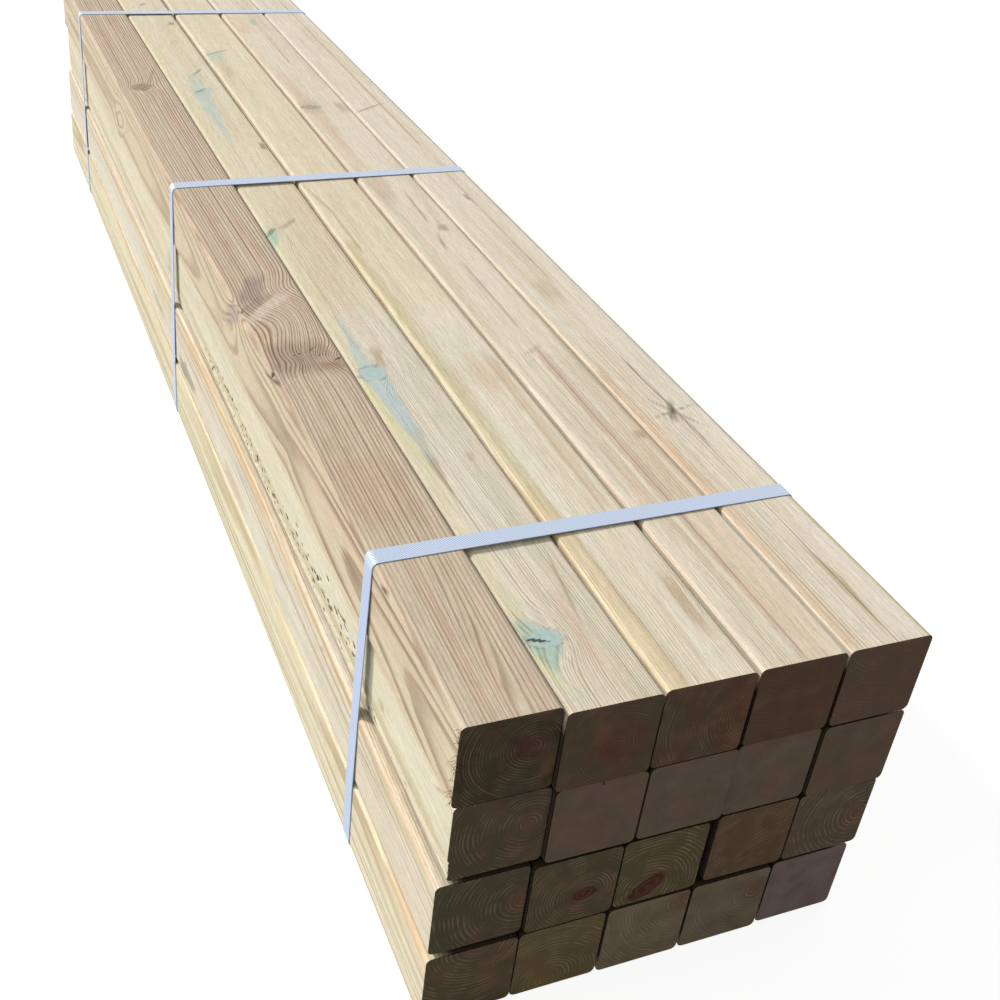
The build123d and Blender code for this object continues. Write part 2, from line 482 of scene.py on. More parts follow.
def sawn_end(name, pine):
    """Saw-cut end grain of treated pine: open pores drink the treatment and turn it dull brown.

    The dense latewood drinks less and stays paler, as thin lines that stand out in places, and the
    saw leaves faint parallel marks.
    """
    material, tree = blank_material(name)
    place, radius, late = growth_rings(tree, pine["end_ring"], 0.9, 0.3)
    sharp = in_places(tree, place, (17, 40, 17), 2.0, 0.38, 0.6, 0.1, 1.0)
    late = add(tree, "Math", (late, sharp), operation="MULTIPLY")
    late = add(tree, "Math", (late, pine["end_contrast"]), operation="MULTIPLY")
    core = add(tree, "MapRange", (radius, pine["core"] + 7, pine["core"] - 9, 0.0, 0.8),
               interpolation_type="SMOOTHSTEP")
    cloud = in_places(tree, place, (20, 20, 20), 3.0, 0.35, 0.7, 0.0, 0.4)
    blush = in_places(tree, place, (26, 31, 23), 2.0, 0.5, 0.75, 0.0, 0.5)
    colour = coated(tree, linear(pine["end"]), (core, linear(pine["end_core"])),
                    (cloud, linear("#5d5a44")), (blush, linear("#85614f")), (late, linear("#ab9878")))
    pores = along_grain(tree, place, (0.7, 4, 0.7), 2.0, 0.6)
    shade = add(tree, "MapRange", (pores, 0.2, 0.8, 0.84, 1.14), interpolation_type="SMOOTHSTEP")
    colour = add(tree, "VectorMath", {0: colour, "Scale": shade}, operation="SCALE")

    knot, grain = knot_rings(tree, place, (4, 4, 4), 2.0, 0.6, 14.0)
    wood = coated(tree, linear("#523226"), (grain, linear("#70493a")))
    inside = add(tree, "MapRange", (knot, 1.15, 0.75), interpolation_type="SMOOTHSTEP")
    painted_shade = add(tree, "Attribute", {}, "Fac", attribute_name="painted_shade")
    # The last coat is painted shade: near black on the end's broken edge beside faces inside the stack.
    colour = coated(tree, colour, (inside, wood), (painted_shade, linear("#1c1510")))

    position = add(tree, "TexCoord", {}, "Object")
    # The saw's marks slant across the end, and this scale puts them 6.3 mm apart.
    saw = add(tree, "TexWave", {"Vector": position, "Scale": 70.0, "Distortion": 4.0, "Detail": 2.0},
              "Fac", wave_type="BANDS", bands_direction="DIAGONAL")
    height = add(tree, "Math", (late, 0.6, pores), operation="MULTIPLY_ADD")
    height = add(tree, "Math", (saw, 0.35, height), operation="MULTIPLY_ADD")
    bump = add(tree, "Bump", {"Height": height, "Strength": 0.6, "Distance": 0.22 * mm})
    shader = add(tree, "BsdfPrincipled", {"Base Color": colour, "Roughness": 0.85, "IOR": 1.5,
                                          "Specular IOR Level": 0.08, "Normal": bump})
    add(tree, "OutputMaterial", {"Surface": shader})
    return material


def splinter_surface(roots, heads, curls, thickness):
    """Torn fibres: thin four-sided spikes along curves, each tapered from its root to its tip.

    A point at share t of a fibre is root + t * head + t squared * curl, and the section there is
    a diamond whose half width falls from the thickness to a tenth of it.
    """
    t = np.linspace(0, 1, 7)[None, :, None]
    middle = roots[:, None] + t * heads[:, None] + t**2 * curls[:, None]
    ahead = heads[:, None] + 2 * t * curls[:, None]
    ahead = ahead / np.linalg.norm(ahead, axis=2, keepdims=True)
    side = np.cross(ahead, [0.3, 0.2, 1.0])
    side = side / np.linalg.norm(side, axis=2, keepdims=True)
    up = np.cross(side, ahead)
    room = thickness * (1 - 0.9 * t)
    ring = np.stack([middle + side * room, middle + up * room, middle - side * room, middle - up * room], 2)
    count, rings = ring.shape[:2]
    index = np.arange(count * rings * 4).reshape(count, rings, 4)
    a, b = index[:, :-1], index[:, 1:]
    walls = np.stack([a, np.roll(a, -1, 2), np.roll(b, -1, 2), b], -1).reshape(-1, 4)
    ends = np.concatenate([index[:, 0, ::-1], index[:, -1]])
    return ring.reshape(-1, 3), np.concatenate([walls, ends])


def node_points(name):
    """The corners of a CAD node, in millimetres."""
    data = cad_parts[name].data
    points = np.zeros(len(data.vertices) * 3, np.float32)
    data.vertices.foreach_get("co", points)
    return points.reshape(-1, 3).astype(float) / mm


# How far apart the studs lie in the wood's pattern, so that no two share their grain.
log_spacing = 4000.0

# What every stud has unless its own entry says otherwise: the growth rings' width in millimetres, the
# colours of the planed wood, how strong its lines are, and the same for the sawn end. The core is the
# radius of the log's heart in millimetres, which has a colour of its own on the sawn end.
PINE = {"ring": 2.2, "sap": "#e6ddca", "warm": "#dec8aa", "warmth": 0.55, "cool": "#cfc9ad",
        "line": "#c6b498", "contrast": 0.8, "faint": 0.25, "end_ring": 2.8, "end_contrast": 0.6, "core": 12,
        "end": "#75644f", "end_core": "#7c5a4a"}


def make_stud(layer, column, coarse=30.0, relief=None, **own):
    """One stud, laid along the line between the middles of its CAD node's two ends."""
    pine = {**PINE, **own}
    node = f"stud_r{layer}_c{column}"
    seed = 1000 * layer + 100 * column
    shell = node_points(node)
    ends = [shell[shell[:, 1] < 0], shell[shell[:, 1] > 0]]
    front, far = [(e.min(0) + e.max(0)) / 2 for e in ends]
    shown = outer_faces(layer, column)
    outer_cells = {"top": pine.get("top_cells", 36), "left": pine.get("left_cells", 32),
                   "right": 16, "bottom": 8}
    cells = {face: outer_cells[face] if shown[face] else pine.get("cells", 4) for face in SIDES}
    busy = [(patch[1], patch[2], 3.0) for patch in pine.get("patches", []) if patch[2] - patch[1] < 40]
    busy += [(k[1] - k[3], k[1] + k[3], 2.0) for k in pine.get("knots", []) if k[0] != "front"]
    busy += pine.get("busy", [])
    outline, out, painted_shade = stud_profile(cells, shown)
    rows = stud_rows(busy, coarse)
    p, normals, quads, fans, kinds = stud_surface(outline, out, rows, pine.get("cap_rings", 4))
    painted_shade = np.concatenate([np.tile(painted_shade, len(rows)), np.zeros(len(p) - len(rows) * len(outline))])
    if "splinters" in pine:
        spikes, walls = splinter_surface(*pine["splinters"])
        quads = np.concatenate([quads, walls + len(p)])
        kinds = np.concatenate([kinds, np.zeros(len(walls), int)])
        p = np.concatenate([p, spikes])
        normals = np.concatenate([normals, np.zeros_like(spikes)])
        painted_shade = np.concatenate([painted_shade, np.zeros(len(spikes))])
    place, green = knot_field(pine, p)
    tint, cover, calm, dark = patch_fields(pine, p, seed)
    bend = bend_field(pine, p)
    if relief:
        # The relief's second part is painted shade in its hollows and pits, laid with the cracks' dark.
        lift, hollow = relief(p)
        p = p + normals * lift[:, None]
        dark = np.maximum(dark, hollow)
    log = log_spacing * (5 * layer + column)
    px, pz = pith_line(pine, p[:, 2], seed)
    growth = np.stack([p[:, 0] - px, p[:, 2] + log, p[:, 1] - pz], 1)
    if "top_slope" in pine:
        # Across the top the distance to the pith falls evenly, so the lines stand evenly apart.
        wanted = np.hypot(half + px, half - pz) - pine["top_slope"] * (p[:, 0] + half)
        flat = np.hypot(growth[:, 0], half - pz) - wanted
        bend += flat * smooth(arris, 0.3 * arris, half - p[:, 1])
    u, v = pine.get("end_pith", (pine["pith"][0][1], pine["pith"][0][2]))
    end_growth = np.stack([p[:, 0] - (u - 0.5) * size, p[:, 2] + log, p[:, 1] - (v - 0.5) * size], 1)

    t = (p[:, 2] / length)[:, None]
    world = front + (far - front) * t
    world[:, 0] += p[:, 0]
    world[:, 2] += p[:, 1]
    mesh = new_mesh(node + "_pine", world * mm, quads, fans)
    corners = np.concatenate([quads.ravel(), fans.ravel()])
    kinds = np.concatenate([kinds, np.full(len(fans), 2)])
    corner_kind = np.repeat(kinds, np.where(np.arange(len(kinds)) < len(quads), 4, 3))
    on_end = corner_kind > 0
    for name, long_face, end in (("growth", growth, end_growth), ("bend", bend, 0 * bend),
                                 ("knot", place, place), ("green", green, green), ("tint", tint, tint),
                                 ("cover", cover, cover), ("calm", calm, calm), ("dark", dark, dark)):
        chosen = on_end if long_face.ndim == 1 else on_end[:, None]
        set_attribute(mesh, name, np.where(chosen, end[corners], long_face[corners]))
    # The painted shade for faces inside the stack and for seams; the end's flat face gets none.
    set_attribute(mesh, "painted_shade", np.where(corner_kind == 2, 0, painted_shade[corners]))
    mesh.polygons.foreach_set("use_smooth", np.ones(len(mesh.polygons), bool))
    mesh.set_sharp_from_angle(angle=radians(28))
    mesh.polygons.foreach_set("material_index", (kinds > 0).astype(np.int32))
    mesh.materials.append(planed_pine(f"planed_pine_r{layer}_c{column}", pine))
    mesh.materials.append(sawn_end(f"sawn_pine_end_r{layer}_c{column}", pine))
    piece = bpy.data.objects.new(node + "_pine", mesh)
    bpy.context.scene.collection.objects.link(piece)
    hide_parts(node)
    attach(piece, "root")


def on(face, *marks):
    """Several marks on one face, with the face put in front of each."""
    return [(face, *mark) for mark in marks]


# Marks are placed in millimetres, along from the front end and across from the face's left or upper edge.
# A patch is (start, end, place across at its start and at its end, half its width there and there, colour,
# strength), and a crack or a calm place is the same without a colour. A bend or a knot is (place along,
# place across, reach along, reach across, lean, height or share of copper green). A knot on the front end
# is placed in shares of the end's width and height.
bottom_layer = [
    dict(pith=[(0, 1.6, 0.9), (1800, 1.5, 0.8)], ring=3.3, coarse=12, contrast=1.0, end_pith=(0.55, 1.05),
         end_ring=3.4, end="#665943", warmth=0.4, sap="#e8dfc2",
         patches=on("left", (0, 90, 4, 2, 6, 4, "#dcb98c", 0.7), (90, 1800, 6, 4, 3, 3, "#e3c99b", 0.5),
                    (40, 1800, 14, 18, 1.5, 2, "#e9d6a2", 0.6), (0, 1800, 26, 30, 1.6, 2, "#e6d7a6", 0.5),
                    (300, 1500, 52, 46, 8, 12, "#d8d2ae", 0.5))),
    dict(pith=[(0, 0.42, 0.12), (1800, 0.3, 0.2)], end_ring=3.0, end="#7b6c4d", end_core="#8d7446",
         end_contrast=0.8, core=16),
    dict(pith=[(0, 0.95, 0.85), (1800, 0.9, 0.8)], end_ring=2.9, end="#91826a", end_contrast=1.0),
    dict(pith=[(0, 0.85, 0.65), (1800, 0.9, 0.6)], end_ring=3.4, end="#90806b", end_contrast=0.6),
    dict(pith=[(0, 2.0, 0.6), (1800, 2.0, 0.6)], end_ring=1.6, end="#988380", end_contrast=0.25),
]
for column, pine in enumerate(bottom_layer, 1):
    make_stud(4, column, **pine)


# The third layer: its left stud stands out from the one above, and two studs have knots cut through at
# their front ends, where a branch ran close to the saw's path.
third_layer = [
    dict(pith=[(0, 1.4, 1.3), (450, 1.5, 1.15), (1800, 1.4, 1.2)], ring=2.7, coarse=12, contrast=1.0,
         end_pith=(0.98, 0.5), end_ring=3.5, end_contrast=0.45, end="#5a5440", warmth=0.5,
         patches=on("left", (0, 1800, 4, 5, 3, 3, "#dfb98f", 0.6), (0, 1800, 11, 11, 2, 2, "#dfd79a", 0.6),
                    (60, 1800, 17, 17, 2.2, 2, "#dcb896", 0.5), (80, 200, 20, 30, 1, 1.5, "#a99d6c", 0.7),
                    (200, 450, 30, 34, 1.5, 1, "#aba06f", 0.7), (450, 800, 5, 5, 5, 5, "#dfb98c", 0.4),
                    (262, 273, 10, 16, 0.8, 0.8, "#4c3c2c", 0.8), (535, 575, 25, 25, 5, 5, "#b4ccc0", 0.5),
                    (545, 625, 57, 57, 6, 8, "#d0ab90", 0.5), (775, 860, 52, 60, 5, 10, "#8f8468", 0.7),
                    (950, 1100, 25, 25, 5, 5, "#e2d194", 0.6), (960, 1030, 50, 50, 4, 4, "#a79c6e", 0.5)),
         knots=on("left", (829, 54, 11, 9, 0.3, 0.4)), calm=[("left", 0, 1800, 52, 52, 16, 18, 0.8)]),
    dict(pith=[(0, 0.63, 0.4), (1800, 0.9, 0.5)], end_ring=2.6, end="#625642", cells=14, cap_rings=16,
         end_contrast=0.6, knots=[("front", 0.63, 0.4, 0.15, 0.1, 0.1, 0.0)], core=6),
    dict(pith=[(0, 0.38, 0.19), (1800, 0.5, 0.2)], end_ring=3.3, end="#6b5f43", end_contrast=0.8, cells=14,
         cap_rings=16, knots=[("front", 0.38, 0.21, 0.22, 0.15, 0.5, 0.0)], core=12),
    dict(pith=[(0, 1.2, -0.9), (1800, 1.2, -0.9)], end_ring=2.6, end="#725844", end_contrast=0.7),
    dict(pith=[(0, 0.9, 0.5), (1800, 0.8, 0.5)], end_ring=3.8, end="#706251", end_contrast=0.7),
]
for column, pine in enumerate(third_layer, 1):
    make_stud(3, column, **pine)


# The second layer: set in from the left side of the stack. Its left stud keeps a strip of the log's
# rough outside along its lower edge, where the planer missed, and small pits above that.
def wane_relief(p):
    """The rough strip and the pits: a hollow of uneven depth near the lower edge, and small dips.
    The strip is painted darker where it lies deeper, and each pit dark: both are painted shade.

    Each pit is a soft oval dip, longer along the stud than it is wide. They stand along a wavering
    line above the strip, closer together towards the strap in front.
    """
    u, depth = on_face("left", p)
    s = p[:, 2]
    surface = smooth(4, 1, depth)
    edge = 57 + 3 * (lumps(s / 30, s * 0, 3) - 0.5) - 6 * smooth(150, 0, s)
    strip = smooth(edge - 1, edge + 3, u) * smooth(70, 66, u) * surface * smooth(1100, 700, s)
    rough = lumps(s / 5, u / 3, 4) * 0.7 + lumps(s / 2.2, u / 1.7, 5) * 0.3
    lift = -strip * (0.5 + 1.6 * rough)
    # Painted shade: the strip is darker where the rough lies deeper.
    dark = strip * smooth(0.5, 0.85, rough) * 0.6
    rng = np.random.default_rng(8)
    for along in 200 + 540 * np.linspace(0, 1, 120) ** 1.3 + rng.normal(0, 4, 120):
        across = 40 + 14 * smooth(200, 450, along) + rng.normal(0, 6)
        large = rng.uniform(0.4, 1.1)
        wobble = 0.5 * (lumps(s / 2.2, u / 2.2, int(along)) - 0.5)
        dip = np.hypot((s - along) / (4.2 * large), (u - across) / (2.2 * large)) + wobble
        share = smooth(1.2, 0.5, dip) * surface
        lift -= 1.2 * large * share
        # Painted shade: each pit is dark over its dip.
        dark = np.maximum(dark, share)
    return lift, dark


second_layer = [
    dict(pith=[(0, 1.7, 0.6), (1800, 1.8, 0.5)], ring=2.6, coarse=12, contrast=0.5, end_pith=(0.8, 0.55),
         end_ring=3.0, end_contrast=0.45, end="#605242", relief=wane_relief,
         busy=[(200, 640, 1.8), (640, 720, 2.5)], left_cells=60, sap="#e4dcc0", warmth=0.2,
         patches=on("left", (0, 1800, 2, 3, 4, 4, "#e4c8a6", 0.6), (0, 1800, 50, 48, 4, 5, "#cfbf95", 0.6),
                    (0, 1000, 61, 62, 6, 6, "#ecdfc3", 0.6), (15, 32, 2, 12, 0.8, 0.8, "#7a6a52", 0.7),
                    (133, 144, 36, 37, 3, 3, "#b79f7a", 0.6), (690, 712, 50, 64, 1, 1, "#3f3226", 0.9),
                    (900, 940, 40, 40, 12, 12, "#b3a87c", 0.5), (1272, 1292, 4, 4, 4, 4, "#8c7a5b", 0.6)),
         calm=on("left", (0, 1800, 27, 28, 20, 20, 0.6))),
    dict(pith=[(0, 1.6, 0.5), (1800, 1.6, 0.5)], end_ring=1.4, end="#816b5d", end_contrast=0.15, cells=10,
         cap_rings=12, knots=[("front", 0.5, 0.97, 0.035, 0.03, 0.0, 0.0)]),
    dict(pith=[(0, 1.1, -0.2), (1800, 1.1, -0.2)], end_ring=2.0, end="#7f6c5e", end_contrast=0.3),
    dict(pith=[(0, 1.0, -0.1), (1800, 1.0, -0.1)], end_ring=2.2, end="#7f6d5e", end_contrast=0.3, cells=10,
         cap_rings=12, knots=[("front", 0.45, 0.92, 0.03, 0.025, 0.0, 0.0)]),
    dict(pith=[(0, 0.4, 1.4), (1800, 0.4, 1.4)], end_ring=1.8, end="#7a6656", end_contrast=0.2),
]
for column, pine in enumerate(second_layer, 1):
    make_stud(2, column, **pine)


# The top layer: the left stud is pinkish wood with strong latewood lines that swirl round its knots,
# and the others are cream sapwood with copper-stained knots.
def torn_fibres(seed, count):
    """Roots, directions, curls and thickness of the fibres that the saw tore at a front-left arris."""
    rng = np.random.default_rng(seed)
    up = rng.uniform(-half, half, count)
    roots = np.stack([np.full(count, 0.15 - half), up, rng.uniform(0.3, 5, count)], 1)
    corner = np.abs(up) > half - arris
    roots[corner, 0] += 1.2
    heads = np.stack([-rng.uniform(2, 6, count), rng.normal(0, 3, count), rng.uniform(-6, 3, count)], 1)
    curls = rng.normal(0, 2.2, (count, 3))
    curls[:, 0] = -np.abs(curls[:, 0]) * 0.4
    return roots, heads, curls, 0.4


def pine_hollow(p):
    """A small hollow where a knot broke out of the upper left arris, painted black as painted shade."""
    s = p[:, 2]
    corner = np.hypot(p[:, 0] + half - 1, p[:, 1] - half + 1)
    share = smooth(1.2, 0.4, np.hypot((s - 452) / 4, corner / 3.6))
    return -1.6 * share, 0.95 * share


top_layer = [
    dict(pith=[(0, 1.2, 0.43), (400, 1.34, 0.43), (560, 1.3, 0.35), (1100, 1.18, 0.4), (1800, 1.2, 0.4)],
         ring=3.1, coarse=8, contrast=1.0, sap="#d6c5ad", warm="#d0b19b", cool="#c7b799", line="#957a66",
         top_slope=0.92, end_pith=(0.75, 0.6), end_ring=2.3, end="#4c3f2f", end_core="#5a3c33",
         end_contrast=0.4, core=14, relief=pine_hollow, splinters=torn_fibres(11, 30),
         busy=[(440, 650, 2.2)], top_cells=52, faint=0.7,
         bends=on("top", (0, 37, 110, 9, 0.0, 9), (470, 66, 20, 24, 0.0, 14), (466, 28, 14, 14, 0.0, -6),
                  (545, 36, 48, 24, 0.2, -15), (612, 52, 30, 26, 0.3, 11), (1243, 30, 22, 20, 0.3, 7)) +
               on("left", (590, 14, 30, 22, 0.5, 5), (1255, 50, 40, 20, 0.4, 4)),
         patches=on("top", (215, 305, 30, 32, 26, 26, "#cda690", 0.35),
                    (318, 342, 17, 17, 8, 8, "#b6aa80", 0.35), (425, 447, 2, 32, 3, 3, "#dfd0ba", 0.6),
                    (446, 503, 34, 30, 32, 26, "#8f7965", 0.5), (450, 464, 56, 56, 10, 10, "#b18e6b", 0.45),
                    (462, 473, 54, 54, 8, 8, "#dac3a8", 0.5), (505, 532, 12, 12, 9, 7, "#dfc3a0", 0.45),
                    (541, 604, 1, 50, 7, 11, "#e3d6c4", 0.5), (568, 604, 4, 36, 8, 8, "#9b8a77", 0.5),
                    (588, 645, 14, 34, 12, 10, "#9c8a84", 0.6), (594, 626, 52, 53, 8, 8, "#d9c2b2", 0.5),
                    (1216, 1232, 18, 22, 8, 8, "#ddcdb4", 0.6), (1232, 1262, 52, 58, 7, 6, "#dccbb2", 0.6),
                    (1262, 1330, 42, 62, 3, 1, "#9c8569", 0.4),
                    (1550, 1582, 40, 40, 8, 8, "#d0a584", 0.3)) +
                 on("left", (0, 1800, 40, 38, 36, 36, "#dfd0aa", 0.45),
                    # The first patch below, a darker strip along the upper left arris, is painted shade
                    # over its bright edge.
                    (60, 1800, 1, 1, 2.5, 2.5, "#c0a68b", 0.5), (200, 400, 16, 20, 12, 12, "#d9baa2", 0.35),
                    (139, 151, 3, 5, 2.2, 1.2, "#43362a", 0.8), (430, 466, 0, 8, 1.2, 1.4, "#392d23", 0.9),
                    (572, 622, 2, 30, 7, 9, "#b1a197", 0.75), (574, 584, 4, 22, 1, 1, "#6a5c50", 0.8),
                    (585, 618, 0, 16, 1, 1, "#64564b", 0.8), (600, 640, 24, 40, 1.5, 1, "#84756a", 0.6),
                    (1178, 1242, 34, 66, 1, 1, "#8d7b5f", 0.7), (1254, 1292, 60, 36, 6, 5, "#a18c6b", 0.6)),
         cracks=on("top", (479, 485, 26, 42, 1.5, 1.2, 0.9), (484, 492, 40, 51, 1.4, 1.2, 0.85),
                   (472, 481, 46, 54, 1.2, 1.1, 0.6), (464, 470, 60, 68, 1.8, 1.8, 0.8),
                   (566, 580, 2, 6, 1.3, 1.0, 0.6), (583, 592, 3, 14, 1.2, 1.0, 0.5)),
         calm=on("top", (-20, 200, 35, 35, 40, 40, 0.35), (200, 450, 35, 35, 40, 40, 0.2)) +
              on("left", (300, 1800, 35, 35, 40, 40, 0.3)) +
              on("top", (446, 520, 34, 30, 34, 34, -0.1), (545, 600, 1, 48, 6, 8, 0.5)),
         knots=on("top", (1243, 29, 14, 12, 0.35, 0.0))),
    dict(pith=[(0, -0.4, 0.25), (700, -0.55, 0.3), (1800, -0.5, 0.2)], ring=1.7, coarse=12, contrast=0.85,
         top_cells=60, busy=[(64, 76, 0.7)], end_pith=(0.6, 0.45), end_ring=2.2, end="#635241",
         end_core="#6c4439", core=22, end_contrast=0.2, sap="#e6decb", warm="#dcc6ad",
         bends=on("top", (72, 26, 26, 16, 0.0, 9), (445, 16, 24, 20, 0.0, 14), (462, 50, 22, 12, 0.0, 6),
                  (748, 6, 26, 16, 0.0, 9), (1235, 33, 18, 12, 0.0, 5)),
         patches=on("top", (560, 2000, 35, 35, 40, 40, "#e4d4b0", 0.4),
                    (100, 1800, 8, 8, 7, 8, "#dfd5a8", 0.35), (36, 70, 9, 14, 1, 15, "#a6c4b4", 0.8),
                    (70, 98, 14, 6, 15, 2, "#b0c8b6", 0.75), (20, 62, 9, 2, 4, 3, "#cfd6a6", 0.5),
                    (92, 120, 7, 5, 3, 1, "#d9d3a4", 0.5), (80, 150, 47, 56, 1, 1.2, "#a58b70", 0.6),
                    (36, 115, 38, 44, 5, 7, "#d8bda6", 0.4), (240, 305, 17, 19, 1, 4, "#b3a184", 0.7),
                    (292, 350, 18, 20, 2, 6, "#b9bdae", 0.6), (340, 432, 19, 17, 6, 11, "#bccdd0", 0.8),
                    (280, 432, 12, 3, 2, 4, "#dcdaa4", 0.6), (432, 462, 17, 16, 13, 9, "#b4cac4", 0.6),
                    (458, 545, 15, 17, 6, 1.5, "#b7cbc8", 0.65), (452, 488, 28, 34, 5, 5, "#ad946f", 0.5),
                    (545, 640, 17, 19, 1.5, 1, "#c5b28e", 0.5), (290, 302, 50, 53, 3, 3, "#c7ab8b", 0.5),
                    (716, 764, 1, 5, 2, 10, "#adc6b4", 0.75), (750, 768, 2, 12, 2.5, 3, "#756c5a", 0.7),
                    (766, 792, 20, 42, 5, 3, "#b09c7d", 0.6), (1006, 1028, 63, 63, 3, 3, "#8a7555", 0.7),
                    (1040, 1210, 29, 31, 2, 11, "#c2d3cb", 0.75),
                    (1210, 1245, 32, 36, 11, 12, "#b9cfc8", 0.8),
                    (1226, 1243, 26, 42, 2, 2, "#65706a", 0.85),
                    (1243, 1304, 33, 38, 11, 9, "#c6d3c0", 0.7), (1304, 1328, 39, 53, 2, 2, "#878a78", 0.8),
                    (1552, 1568, 56, 58, 5, 5, "#9d876a", 0.7), (1662, 1678, 30, 40, 4, 4, "#a5957b", 0.7)),
         knots=on("top", (71, 16, 10, 13, 0.0, 1.0), (443, 17, 13, 13, 0.1, 1.0)),
         cracks=on("top", (71.4, 73.4, 6, 6, 3, 3, 0.95), (69.6, 71.8, 9.5, 9.5, 3, 3, 0.95),
                   (68, 70, 13.5, 13.5, 3.4, 3.4, 0.95), (66.8, 68.4, 17, 17, 2, 2, 0.7)),
         calm=on("top", (100, 1800, 8, 8, 8, 9, 0.85), (900, 1800, 35, 35, 34, 34, 0.5))),
    dict(pith=[(0, 1.5, 0.3), (1800, 1.7, 0.3)], ring=1.35, coarse=12, contrast=0.8, end_pith=(1.15, 0.5),
         end_ring=1.9, end="#634e3e", end_core="#6e483b", end_contrast=0.45, core=40, sap="#e9e0cb",
         bends=on("top", (60, 68, 18, 9, 0.0, 11), (1380, 14, 22, 16, 0.0, 6)),
         patches=on("top", (560, 2000, 35, 35, 40, 40, "#e6d6b4", 0.4),
                    (-20, 240, 6, 4, 11, 9, "#e3cb9e", 0.6), (0, 235, 17, 14, 1.2, 1, "#b3946a", 0.5),
                    (-20, 400, 43, 43, 23, 23, "#f1e8d4", 0.45), (200, 700, 4, 4, 7, 6, "#e2d3a6", 0.55),
                    (200, 720, 12, 8, 4, 6, "#cabf96", 0.5), (690, 800, 15, 15, 1.8, 1.8, "#aca274", 0.7),
                    (800, 885, 15, 4, 1.8, 1.2, "#aca274", 0.7), (50, 112, 57, 58, 5, 5, "#c3a57f", 0.6),
                    (200, 455, 57, 57, 5, 6, "#c9ae8a", 0.5), (385, 465, 40, 40, 8, 8, "#d9bba3", 0.3),
                    (740, 777, 56, 56, 4, 4, "#ece2cb", 0.6), (1290, 1360, 16, 18, 6, 6, "#bda785", 0.3),
                    (1362, 1408, 12, 18, 14, 12, "#b9cbb6", 0.65),
                    (1394, 1417, 4, 36, 2.4, 2.0, "#656b5c", 0.85)),
         calm=on("top", (440, 1800, 35, 35, 34, 34, 0.55))),
    dict(pith=[(0, -1.0, 0.2), (1800, -0.9, 0.1)], ring=1.8, coarse=12, contrast=0.75, end_pith=(0.5, 1.4),
         end_ring=2.4, end="#684d3e", end_contrast=0.15, sap="#e8dcc8", warm="#ddc4a9", warmth=0.8,
         bends=on("top", (742, 51, 16, 9, 0.0, 7), (1155, 17, 20, 16, 0.0, 8), (455, 32, 14, 14, 0.0, 4)),
         patches=on("top", (0, 450, 29, 29, 2.5, 2.5, "#f2e8d4", 0.7),
                    (0, 460, 36.5, 37, 1.2, 1.2, "#b2907a", 0.7), (200, 452, 38, 38, 7, 7, "#c9b09c", 0.3),
                    (288, 300, 62, 62, 4, 4, "#b39c7e", 0.6), (446, 461, 22, 42, 4, 4, "#aa9a87", 0.35),
                    (505, 645, 38, 38, 0.9, 0.9, "#96805f", 0.6), (688, 722, 34, 38, 1, 1, "#84704f", 0.7),
                    (762, 843, 40, 43, 1, 1, "#84704f", 0.7), (826, 905, 20, 24, 9, 11, "#c0a286", 0.35),
                    (1130, 1178, 16, 18, 14, 14, "#b5a78e", 0.35),
                    (1134, 1171, 60, 60, 7, 7, "#a89a80", 0.45), (1348, 1484, 42, 42, 1, 1, "#96805f", 0.6),
                    (1500, 1602, 20, 20, 14, 14, "#dfc09a", 0.4),
                    (1548, 1582, 40, 42, 5, 5, "#a9c3ad", 0.7), (734, 750, 51, 51, 5, 5, "#a28668", 0.6)),
         knots=on("top", (1155, 18, 8, 13, 0.0, 0.35)),
         calm=on("top", (0, 190, 56, 56, 16, 16, 0.85), (440, 1800, 35, 35, 34, 34, 0.5))),
    dict(pith=[(0, -0.9, 0.5), (1800, -0.9, 0.4)], ring=2.5, coarse=12, contrast=0.75, end_pith=(0.8, 1.8),
         end_ring=2.6, end="#705b4d", end_contrast=0.2, sap="#e8decb", cool="#cdc5a8",
         bends=on("top", (322, 38, 14, 20, 0.0, 7), (1150, 26, 16, 18, 0.4, 5)),
         patches=on("top", (0, 400, 3, 3, 0.8, 0.8, "#cf9f6c", 0.8),
                    (0, 400, 6.5, 6.5, 0.8, 0.8, "#d2a674", 0.7),
                    (0, 420, 10, 10, 0.8, 0.8, "#d2a674", 0.7), (20, 70, 38, 40, 0.8, 3.5, "#b0a277", 0.75),
                    (70, 116, 40, 38, 3.5, 0.8, "#b0a277", 0.75),
                    # The first patch below, a brown line along the right arris, is painted shade.
                    (0, 1800, 66, 66, 1.6, 1.6, "#b59f78", 0.5), (316, 329, 16, 58, 3, 3, "#8f8c70", 0.7),
                    (308, 338, 32, 42, 4, 4, "#8a866b", 0.7), (319, 328, 36, 40, 2.2, 2, "#4b4636", 0.85),
                    (268, 422, 42, 38, 0.9, 0.9, "#7b7156", 0.8),
                    (298, 345, 52, 26, 1.2, 1.2, "#8c876c", 0.7),
                    (552, 594, 30, 30, 11, 11, "#b2a47e", 0.33),
                    (600, 905, 43, 43, 0.9, 0.9, "#95845f", 0.6), (817, 833, 40, 40, 3, 3, "#85754f", 0.6),
                    (1000, 1700, 45, 46, 1, 1, "#97835f", 0.6),
                    (1132, 1163, 5, 46, 2.4, 2.4, "#93856a", 0.7)),
         calm=on("top", (0, 470, 57, 57, 14, 14, 0.9), (470, 1800, 35, 35, 34, 34, 0.5))),
]
for column, pine in enumerate(top_layer, 1):
    make_stud(1, column, **pine)


# The straps: 16 mm polypropylene band, extruded and embossed with fine diagonal ribs, pulled taut and
# welded to itself on the right side.
rib_spacing = 2.0
# How far from a corner of the bundle the band is whitened by its bend.
bend_reach = 9.0


